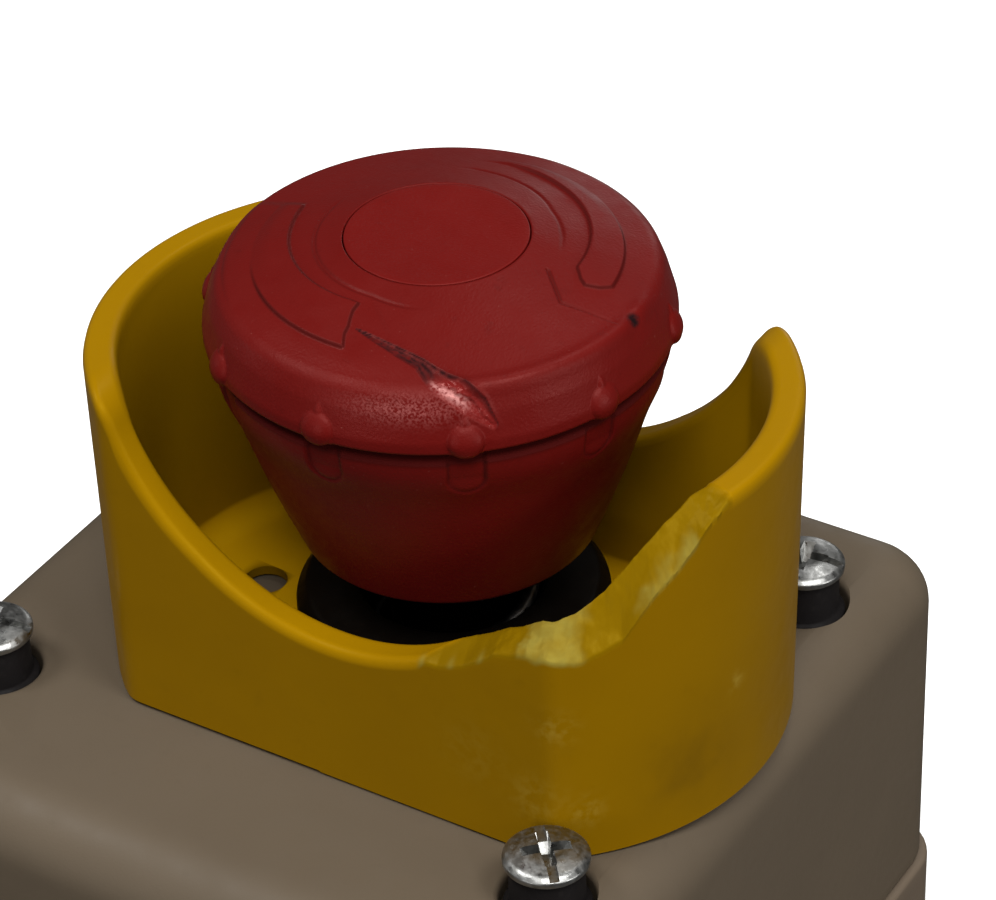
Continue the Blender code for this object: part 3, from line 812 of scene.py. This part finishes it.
def make_disc():
    rim = DISC_RADIUS
    low = DISC_LOW[2] - ORIGIN[2]
    disc = turned_solid(
        "cap_disc",
        [(0.0, CAP_TOP - 0.02, 0), (rim, CAP_TOP, 0.12), (rim, low, 0.1), (0.0, low, 0)],
        0.5,
        240,
        ORIGIN,
    )
    place(disc, "centre_disc", red_plastic("red_disc", depth=1.12))


def skirt_radius(height):
    share = (height - SKIRT_BOTTOM) / (SKIRT_TOP - SKIRT_BOTTOM)
    low, high = SKIRT_RADII
    shoulder = 0.45 * bell(share - 0.86, 0.13)
    return low + (high - low) * share + 2.0 * share * (1 - share) + shoulder


def make_skirt():
    heights = np.linspace(SKIRT_TOP - 0.9, SKIRT_BOTTOM + 0.3, 110)
    outer = [(SKIRT_RADII[1] - 1.1, SKIRT_TOP - 0.15), (SKIRT_RADII[1] - 0.35, SKIRT_TOP - 0.45)]
    outer += [(skirt_radius(z), z) for z in heights]
    outer += [(SKIRT_RADII[0] - 0.1, SKIRT_BOTTOM + 0.05), (SKIRT_RADII[0] - 0.3, SKIRT_BOTTOM)]
    outer = np.array(outer)
    wall = 1.9
    inner = path(
        [
            (SKIRT_RADII[0] - wall, SKIRT_BOTTOM, 0), (skirt_radius(WEB_LOW) - wall, WEB_LOW, 0.5),
            (1.9, WEB_LOW, 0.1), (1.9, WEB_HIGH, 0.1),
            (skirt_radius(WEB_HIGH) - wall, WEB_HIGH, 0.5),
            (SKIRT_RADII[1] - wall, SKIRT_TOP - 0.15, 0),
        ],
        1.0,
    )
    columns = 900
    grid = turned(outer, columns)
    angle = np.linspace(0.0, math.tau, columns, endpoint=False)[None, :]
    height = outer[:, 1:]
    middle = SKIRT_TOP - RECESS_HEIGHT + LUG_HALF_WIDTH
    depth = np.zeros((len(outer), columns))
    outline = np.repeat(smooth_step((height - SKIRT_TOP + 1.15) / 0.7), columns, axis=1)  # painted shade under the cap's rim
    for apart in lug_offsets(angle, skirt_radius(height)):
        below = np.minimum(height - middle, 0.0)
        inside = LUG_HALF_WIDTH - np.sqrt(apart**2 + below**2)
        shallow = np.clip(1 + below / 1.6, 0.15, 1.0)
        depth += RECESS_DEPTH * shallow * smooth_step(inside / 0.5)
        depth += RECESS_GROOVE * bell(inside, 0.16)
        # painted shade along the groove round each recess
        outline += 0.7 * bell(inside, 0.14)
    grid[..., 0] -= depth * np.cos(angle)
    grid[..., 1] -= depth * np.sin(angle)
    within = turned(inner, columns)
    crease = np.concatenate([np.clip(outline, 0, 1), np.zeros(within.shape[:2])])
    skirt = grid_object("grip_skirt", np.concatenate([grid, within]), masks={"crease": crease})
    place(skirt, "mushroom_skirt", red_plastic("red_skirt", depth=0.88, crease_shaded=True), angle=50)


# --- guard ---


def scallop_height(x):
    """Height of the guard's rim at a place along X: a round hollow that turns over onto each ear."""
    x = np.abs(x - GUARD_SHIFT[0])
    drop = SCALLOP_CENTRE - (GUARD_TOP - EAR_RADIUS)
    ear_x = math.sqrt((SCALLOP_RADIUS + EAR_RADIUS) ** 2 - drop**2)
    turn_x = ear_x * SCALLOP_RADIUS / (SCALLOP_RADIUS + EAR_RADIUS)
    hollow = SCALLOP_CENTRE - np.sqrt(np.maximum(SCALLOP_RADIUS**2 - x**2, 0.0))
    hollow -= 0.45 * np.clip(1 - (x / 13.0) ** 2, 0.0, 1.0)
    ear = GUARD_TOP - EAR_RADIUS + np.sqrt(np.maximum(EAR_RADIUS**2 - (ear_x - x) ** 2, 0.0))
    return np.where(x < turn_x, hollow, np.where(x < ear_x, ear, GUARD_TOP))


def guard_outline(inset, per_arc, per_flat):
    """The guard's outline moved in by inset, from the middle of the front flat, anticlockwise."""
    radius = GUARD_ARC - inset
    half = GUARD_HALF_WIDTH - inset
    reach = math.asin(half / radius)
    crease = GUARD_CENTRE + radius * math.cos(reach)
    arc = np.linspace(-reach, reach, per_arc, endpoint=False)
    flat = np.linspace(crease, -crease, per_flat, endpoint=False)
    right = np.stack([GUARD_CENTRE + radius * np.cos(arc), radius * np.sin(arc)], 1)
    back = np.stack([flat, np.full(per_flat, half)], 1)
    ring = np.concatenate([right, back, -right, -back])
    return np.roll(ring, per_flat // 2, axis=0) + GUARD_SHIFT


def soften(ring, reach):
    """Rounds a closed ring's creases by averaging each point with its neighbours."""
    weights = np.hanning(2 * reach + 3)[1:-1]
    weights /= weights.sum()
    padded = np.concatenate([ring[-reach:], ring, ring[:reach]])
    return np.stack([np.convolve(padded[:, k], weights, "valid") for k in (0, 1)], 1)


CHIP_OUTER = [  # along the outer outline from the middle of the front flat, height
    (8.0, 17.0), (11.0, 17.2), (13.5, 18.3), (16.5, 20.6), (19.6, 22.0), (22.0, 21.6), (24.3, 21.4),
    (27.8, 23.1), (30.7, 26.9), (33.9, 29.6), (36.2, 31.8), (38.5, 33.0),
]
CHIP_INNER = [  # the same for the inner edge, by the matching place on the outer outline
    (8.0, 17.6), (14.0, 19.6), (17.5, 21.6), (20.5, 23.6), (23.5, 24.4), (26.5, 26.0), (29.5, 28.8),
    (33.0, 31.2), (36.0, 32.5), (38.5, 33.0),
]


def chip_surface(along, across):
    """Height of the torn rim at the front of the right ear; across runs from outer edge to inner."""
    outer = np.interp(along, *np.array(CHIP_OUTER).T, left=99.0, right=99.0)
    inner = np.interp(along, *np.array(CHIP_INNER).T, left=99.0, right=99.0)
    return outer + (inner - outer) * across**1.3


def upright(outline, heights):
    """Rows of points over one outline, at each row's heights."""
    over = np.repeat(outline[None], len(heights), 0)
    return np.concatenate([over, heights[..., None]], -1)


def make_guard():
    per_arc, per_flat = 420, 360
    wall_rows, rim_rows = 45, 25
    outer = soften(guard_outline(0.0, per_arc, per_flat), 14)
    inner = soften(guard_outline(GUARD_WALL, per_arc, per_flat), 10)
    columns = len(outer)
    along = lengths(outer)[None, :]

    across = np.linspace(0.0, 1.0, rim_rows)[:, None]
    x = outer[:, 0] + (inner[:, 0] - outer[:, 0]) * across
    y = outer[:, 1] + (inner[:, 1] - outer[:, 1]) * across
    whole = scallop_height(x)
    slope = np.gradient(whole, axis=1) / (along[0, 1] - along[0, 0])
    steep = np.sqrt(1 + np.clip(slope, -2.5, 2.5) ** 2)
    chip = chip_surface(np.repeat(along, rim_rows, axis=0), across)
    torn = smooth_step((whole - chip - 0.15) / 0.5)  # 1 where the chip is well below the whole rim
    near = (torn > 0.001).ravel()
    points = np.stack([x, y, np.minimum(whole, chip)], -1).reshape(-1, 3)
    ragged = np.zeros(len(points))
    ragged[near] = roughness_field(points[near] * (1.0, 1.0, 0.4), 2.4)
    ragged = ragged.reshape(x.shape)
    rough_part = 0.05 + 0.17 * smooth_step((along - 15.5) / 2.0)
    rim = np.minimum(whole, chip + rough_part * ragged)
    from_edge = np.minimum(across, 1 - across) * GUARD_WALL
    gap = np.clip(RIM_FILLET - from_edge, 0.0, RIM_FILLET)
    drop = RIM_FILLET - np.sqrt(RIM_FILLET**2 - gap**2)
    rim = rim - drop * steep * (1 - 0.75 * torn)

    floor_top = GUARD_BOTTOM + GUARD_FLOOR
    on_front = outer[:, 1] < GUARD_SHIFT[1] - GUARD_HALF_WIDTH + 1.0
    foot = GUARD_BOTTOM + FOOT_GAP * on_front * smooth_step((-2.0 - outer[:, 0]) / 0.3)
    rise = np.linspace(0.0, 1.0, wall_rows, endpoint=False)[:, None]
    outer_wall = upright(outer, foot + (rim[0] - foot) * rise)
    wall_foot = floor_top + FLOOR_FILLET
    inner_wall = upright(inner, wall_foot + (rim[-1] - wall_foot) * rise[::-1])
    top = np.stack([x, y, rim], -1)

    turn = np.arctan2(inner[:, 1], inner[:, 0])
    hole = np.stack([np.cos(turn), np.sin(turn)], 1) * PANEL_HOLE
    rows = [outer_wall, top, inner_wall]
    inward = (inner - outer) / np.linalg.norm(inner - outer, axis=1)[:, None]
    for step in range(1, 9):
        angle = math.pi / 2 * step / 8
        foot_ring = inner + inward * FLOOR_FILLET * (1 - math.cos(angle))
        height = floor_top + FLOOR_FILLET * (1 - math.sin(angle))
        rows.append(np.column_stack([foot_ring, np.full(columns, height)])[None])
    for share in np.linspace(0.2, 1.0, 6):
        ring = foot_ring + (hole - foot_ring) * share
        rows.append(np.column_stack([ring, np.full(columns, floor_top)])[None])
    for share in (0.0, 0.5, 0.9, 0.97):
        ring = hole + (outer - hole) * share
        rows.append(np.column_stack([ring, np.full(columns, GUARD_BOTTOM)])[None])
    grid = np.concatenate(rows)
    spread = 1 + GUARD_SPREAD * (grid[..., 2:] - GUARD_TOP / 3)
    grid[..., :2] = GUARD_SHIFT + (grid[..., :2] - GUARD_SHIFT) * spread
    grid[..., 0] += GUARD_LEAN * grid[..., 2]

    on_rim = slice(wall_rows, wall_rows + rim_rows)
    on_inner_wall = slice(on_rim.stop, on_rim.stop + wall_rows)
    on_floor = slice(on_inner_wall.stop, -4)
    blank = np.zeros(grid.shape[:2])
    torn_mask = blank.copy()
    drift = along + 1.3 * ragged
    first = smooth_step((drift - 18.8) / 1.0) * smooth_step((24.6 - drift) / 2.5)
    second = smooth_step((drift - 30.0) / 2.0) * smooth_step((35.0 - drift) / 1.0)
    second = second * smooth_step((0.3 - across + 0.3 * ragged) / 0.5)
    torn_mask[on_rim] = torn * np.maximum(first, second)
    broken = blank.copy()
    broken[on_rim] = torn
    for crumb in (9.4, 12.3, 15.2):  # small pale spots left of the torn part
        torn_mask[on_rim] += 0.8 * bell(along - crumb, 0.3) * bell(across, 0.25)
    flat = grid.reshape(-1, 3)
    scuffs = np.zeros(len(flat))
    for spot, size, strength in (  # scuffs on the outside of the right ear
        ((21.5, -18.4, 14.6), 1.5, 0.55), ((19.8, -18.7, 6.4), 2.2, 0.35),
        ((23.6, -17.4, 5.2), 1.5, 0.40), ((30.9, -4.6, 13.0), 0.8, 0.60),
        ((14.0, -18.9, 9.0), 3.0, 0.15),
    ):
        apart = np.linalg.norm(flat - np.array(spot), axis=1)
        scuffs = np.maximum(scuffs, strength * bell(apart, size))
    grime_spot, grime_size = (29.5, -9.5, 7.0), 5.0
    grime = 0.55 * bell(np.linalg.norm(flat - grime_spot, axis=1), grime_size)
    # painted light: brighter colour on the rim top, inner walls and floor
    painted_inner_light = blank.copy()
    painted_inner_light[on_rim] = 0.15 * (1 - torn)
    painted_inner_light[on_inner_wall] = 0.20
    painted_inner_light[on_floor] = 0.90
    masks = {
        "painted_inner_light": painted_inner_light,
        "torn": torn_mask,
        "broken": broken,
        "scuff": scuffs.reshape(blank.shape),
        "grime": grime.reshape(blank.shape),
    }
    guard = grid_object("guard_shroud", grid, masks=masks)
    place_x, radius = GUARD_HOLE
    centres = [ORIGIN + (side * place_x, 0.0, 0.0) for side in (-1, 1)]
    carve(guard, [cylinder("drill", radius, -2.0, 6.0, 48, centre) for centre in centres])
    place(guard, "guard", yellow_plastic(), angle=50)


# --- enclosure ---


def screw_spots():
    for name in SCREWS:
        low, high = box_mm(name)
        yield name, np.array([(low[0] + high[0]) / 2, (low[1] + high[1]) / 2, high[2]])


def make_lid():
    middle = np.array([0.0, 0.0, ORIGIN[2]])
    fillet, corner = 5.5, 5.5
    outlines = []
    section = [(0.5, SEAM, 0), (0.0, SEAM, 0.4), (0.0, 0.0, fillet), (8.0, 0.0, 0)]
    for inset, height in path(section, 0.9):
        side = LID_SIDE - 2 * inset
        outlines.append((rounded_square(side, max(corner - 0.8 * inset, 0.6)), height))
    lid = lofted("lid_cover", outlines, middle)
    wall = 3.0
    inside = rounded_square(LID_SIDE - 2 * wall, 2.5)
    cutters = [lofted("cavity", [(inside, SEAM - 2.0), (inside, -wall)], middle)]
    top = 3.0
    lip = 0.55
    notch_side, notch_end = 1.2, -RECESS_RADIUS - 0.8
    notch = [(-notch_side, 0.0), (-notch_side, notch_end), (notch_side, notch_end), (notch_side, 0.0)]
    for _, spot in screw_spots():
        centre = np.array([spot[0], spot[1], ORIGIN[2]])
        corners = [
            (0.0, top, 0), (RECESS_RADIUS + 4 * lip, top, 0), (RECESS_RADIUS + 4 * lip, 0.001, 0),
            (RECESS_RADIUS, 0.001, lip), (RECESS_RADIUS, -2.0 * wall, 0), (0.0, -2.0 * wall, 0),
        ]
        cutters.append(turned_solid("recess", corners, 0.5, 96, centre))
        cutters.append(lofted("notch", [(notch, -1.5), (notch, top)], centre))
    cutters.append(cylinder("bore", PANEL_HOLE, -2 * wall, top, 96, ORIGIN))
    carve(lid, cutters)
    place(lid, "enclosure_lid", grey_plastic("grey_lid", (0.080, 0.061, 0.041)), angle=30)


def make_base():
    middle = np.array([0.0, 0.0, ORIGIN[2]])
    outlines = []
    section = [
        (1.2, BASE_BOTTOM, 0), (0.0, BASE_BOTTOM, 0.8), (0.0, BASE_TOP, 0.5), (1.0, BASE_TOP, 0),
    ]
    for inset, height in path(section, 1.0):
        outlines.append((rounded_square(BASE_SIDE - 2 * inset, max(5.5 - inset, 0.6)), height))
    base = lofted("base_tub", outlines, middle)
    wall = 3.6
    floor = 2.6
    inside = rounded_square(BASE_SIDE - 2 * wall, 2.5)
    cutters = [lofted("cavity", [(inside, BASE_BOTTOM + floor), (inside, BASE_TOP + 2.0)], middle)]
    hole_place, hole_radius = 20.0, 2.25
    for x in (-hole_place, hole_place):
        centre = np.array([x, 0.0, BASE_LOW[2]])
        cutters.append(cylinder("mounting_hole", hole_radius, -4.0, 4.0, 32, centre))
    carve(base, cutters)
    place(base, "enclosure_base", grey_plastic("grey_base", (0.098, 0.074, 0.052)), angle=30)


def driver_cutters(spot, turn):
    """A slot right across a screw head, and a cross whose two arms narrow downward."""
    slot = rectangle(4.5, 0.42)
    wide = rectangle(2.3, 0.55)
    narrow = rectangle(0.8, 0.33)
    arm = [(narrow, -1.5), (wide, 0.02), (wide, 0.6)]
    cutters = []
    for outlines, lean in (([(slot, -0.75), (slot, 0.5)], 0.0), (arm, math.pi / 2), (arm, 0.0)):
        cutter = lofted("driver", outlines, spot)
        cutter.rotation_euler.z = turn + lean
        cutters.append(cutter)
    return cutters


def make_screws():
    zinc = metal("zinc_plate", (0.27, 0.27, 0.26), (0.10, 0.10, 0.09), 0.34)
    black = rubber("sleeve_rubber")
    for number, (name, spot) in enumerate(screw_spots(), 1):
        head = turned_solid(
            f"screw_head_{number}",
            [
                (0.0, 0.0, 0), (1.8, -0.05, 3.0), (3.3, -0.45, 1.0), (HEAD_RADIUS, -0.85, 0.25),
                (HEAD_RADIUS, -1.4, 0.15), (2.0, -1.4, 0), (2.0, -47.0, 0.3), (0.0, -49.0, 0),
            ],
            0.3,
            96,
            spot,
        )
        cutters = driver_cutters(spot, math.radians(SCREWS[name]))
        carve(head, cutters)
        place(head, name, zinc, angle=32)
        sleeve_name = name.replace("lid_screw", "screw_sleeve")
        low, high = box_mm(sleeve_name)
        panel = ORIGIN[2] - high[2]
        flange = (high[0] - low[0]) / 2
        sleeve = turned_ring(
            f"sleeve_{number}",
            [
                (2.35, 0.0, 0.1), (3.2, 0.0, 0.25), (3.25, panel - 0.5, 0.3),
                (flange, panel - 0.9, 0.3), (flange, low[2] - high[2], 0.2),
                (2.35, low[2] - high[2], 0.1),
            ],
            0.5,
            96,
            np.array([spot[0], spot[1], high[2]]),
        )
        place(sleeve, sleeve_name, black)


def make_bezel():
    radius = (BEZEL_HIGH[0] - BEZEL_LOW[0]) / 2
    low = BEZEL_LOW[2] - ORIGIN[2]
    high = BEZEL_HIGH[2] - ORIGIN[2]
    bezel = turned_ring(
        "bezel",
        [
            (8.4, high, 0.2), (radius - 1.0, high - 0.2, 0.7), (radius, high - 1.6, 0.7),
            (radius, low, 0.2), (12.9, low, 0.1), (12.9, low + 1.7, 0.1), (10.9, low + 1.7, 0.1),
            (10.9, high - 0.5, 0.1), (8.4, high - 0.5, 0.1),
        ],
        0.6,
        240,
    )
    place(bezel, "bezel_ring", black_plastic("black_bezel"))


# --- springs ---


def make_spring(node, turns, wire):
    """A coil with ground ends, on the station's body."""
    low, high = box_mm(node)
    centre = np.array([(low[0] + high[0]) / 2, (low[1] + high[1]) / 2, low[2]])
    height = high[2] - low[2]
    radius = (high[0] - low[0]) / 2 - wire
    per_turn, sides = 40, 12
    count = round(turns * per_turn)
    turn = np.arange(count + 1) / per_turn * math.tau
    nearly_flat_ends = 0.96
    share = smooth_step(np.linspace(-0.5, 0.5, count + 1) * nearly_flat_ends)
    rise = wire + (share - share[0]) / (share[-1] - share[0]) * (height - 2 * wire)
    around = np.linspace(0.0, math.tau, sides, endpoint=False)
    reach = radius + wire * np.cos(around)[None, :]
    points = np.stack(
        [
            reach * np.cos(turn)[:, None],
            reach * np.sin(turn)[:, None],
            rise[:, None] + wire * np.sin(around)[None, :],
        ],
        -1,
    )
    faces = grid_faces(count + 1, sides, False).tolist()
    faces.append(list(range(sides)))
    faces.append(list(range(count * sides, (count + 1) * sides)))
    coil = mesh_object(f"{node}_coil", points.reshape(-1, 3), faces, centre)
    weld(coil)
    # painted shade: the steel is drawn dark so the coil seen through the bezel stays in shade
    steel = metal(f"{node}_steel", (0.13, 0.12, 0.11), (0.05, 0.045, 0.04), 0.38)
    place(coil, node, steel, body="station")
    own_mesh(coil)


# --- carried-over nodes ---


def finish_cad_nodes():
    """Materials for the nodes whose CAD shape is shown as it is."""
    makers = {
        "operator_body": black_plastic,
        "lock_nut": black_plastic,
        "mounting_adapter": black_plastic,
        "panel_gasket": rubber,
        "lid_gasket": rubber,
        "latch_ring": nylon,
        "stem": nylon,
        # painted shade: the nylon cam sleeve is drawn black so it stays dark under the head
        "cam_sleeve": black_plastic,
        "push_plate": nylon,
        "contact_housing": nylon,
        "contact_cover": nylon,
        "contact_plunger": red_plastic,
    }
    steel = ((0.55, 0.55, 0.53), (0.30, 0.29, 0.27), 0.28)
    metals = {
        "contact_bridge": ((0.72, 0.71, 0.68), (0.50, 0.48, 0.44), 0.25),
        "fixed_contact": ((0.62, 0.42, 0.17), (0.42, 0.27, 0.11), 0.32),
        "terminal_screw": steel,
        "cap_screw": steel,
    }
    for node, obj in frame["nodes"].items():
        if obj.hide_render:
            continue
        kind = next(k for k in (*makers, *metals) if node.startswith(k))
        name = f"{node}_finish"
        finish = metal(name, *metals[kind]) if kind in metals else makers[kind](name)
        obj.data.materials.clear()
        obj.data.materials.append(finish)


# --- studio ---


def make_floor():
    size = 4.0
    bm = bmesh.new()
    bmesh.ops.create_grid(bm, x_segments=8, y_segments=8, size=size)
    mesh = bpy.data.meshes.new("floor")
    bm.to_mesh(mesh)
    bm.free()
    floor = add("floor", mesh)
    floor.location.z = CAD_BOX[0].z
    pale = Finish("pale_floor", (0.93, 0.93, 0.925), 0.9, specular=0.1)
    pale.mottle(400.0, 2.0, 0.3, 0.7, 0.3, (0.90, 0.90, 0.895))
    mesh.materials.append(pale.material)
    floor.visible_diffuse = False  # its bounce would light the undersides too much
    floor.visible_glossy = False


def direction(azimuth, elevation):
    """Unit vector from the object, in degrees. Azimuth 0 is at the front, and 90 is at the right."""
    a, e = math.radians(azimuth), math.radians(elevation)
    return Vector((math.sin(a) * math.cos(e), -math.cos(a) * math.cos(e), math.sin(e)))


def area_light(name, azimuth, elevation, power):
    """A round light that faces the object."""
    distance, across = 1.3, 0.45  # in metres
    data = bpy.data.lights.new(name, "AREA")
    data.shape = "DISK"
    data.size = across
    data.energy = power
    light = add(name, data)
    away = direction(azimuth, elevation)
    light.location = Vector(ORIGIN * MM) + away * distance
    light.rotation_mode = "QUATERNION"
    light.rotation_quaternion = away.to_track_quat("Z", "Y")


# Powers fitted to the photo's mean colours and then adjusted
PANELS = {  # azimuth, elevation, power in watts
    "front_panel": (30.0, 57.0, 13.4),
    "left_panel": (-58.0, 57.0, 9.2),
    "low_left": (-66.0, 10.0, 0.8),
    "right_panel": (77.0, 57.0, 9.5),
    "back_panel": (170.0, 62.0, 3.5),
    "low_front": (-6.0, 10.0, 3.6),
    "low_right": (88.0, 10.0, 6.4),
    "half_right": (60.0, 32.0, 2.0),
    "rear_fill": (-165.0, 8.0, 1.0),
}
WORLD_COLOUR = (1.0, 0.985, 0.96, 1.0)
WORLD_STRENGTH = 0.09

# Fitted to the outlines in the photo
CAMERA_ANGLES = (32.68, 35.76, -2.26)  # azimuth, elevation, roll
CAMERA_DISTANCE = 378.96
CAMERA_TARGET = ORIGIN + (-13.4, 28.96, 0.0)
CAMERA_LENS = 142.9


def make_lights():
    world = bpy.data.worlds.new("studio")
    world.use_nodes = True
    background = world.node_tree.nodes["Background"]
    background.inputs["Color"].default_value = WORLD_COLOUR
    background.inputs["Strength"].default_value = WORLD_STRENGTH
    bpy.context.scene.world = world
    for name, (azimuth, elevation, power) in PANELS.items():
        area_light(name, azimuth, elevation, power)
    bpy.context.scene.view_settings.view_transform = "Standard"


def make_camera():
    """A long lens from the front right, looking down, with the button left of centre."""
    azimuth, elevation, roll = CAMERA_ANGLES
    back = direction(azimuth, elevation)
    level = direction(azimuth + 90.0, 0.0)
    upward = back.cross(level)
    roll = math.radians(roll)
    right = level * math.cos(roll) + upward * math.sin(roll)
    up = upward * math.cos(roll) - level * math.sin(roll)
    data = bpy.data.cameras.new("camera")
    data.sensor_width = 36.0
    data.lens = CAMERA_LENS
    data.clip_start = 0.01
    data.clip_end = 10.0
    camera = add("camera", data)
    turn = Matrix((right, up, back)).transposed()
    place_m = Vector(CAMERA_TARGET * MM) + back * CAMERA_DISTANCE * MM
    camera.matrix_world = Matrix.Translation(place_m) @ turn.to_4x4()
    bpy.context.scene.camera = camera


make_cap()
make_disc()
make_skirt()
make_guard()
make_lid()
make_base()
make_screws()
make_bezel()
make_spring("return_spring", 6, 0.6)
make_spring("contact_spring_1", 5, 0.25)
make_spring("contact_spring_2", 5, 0.25)
finish_cad_nodes()
make_floor()
make_lights()
make_camera()
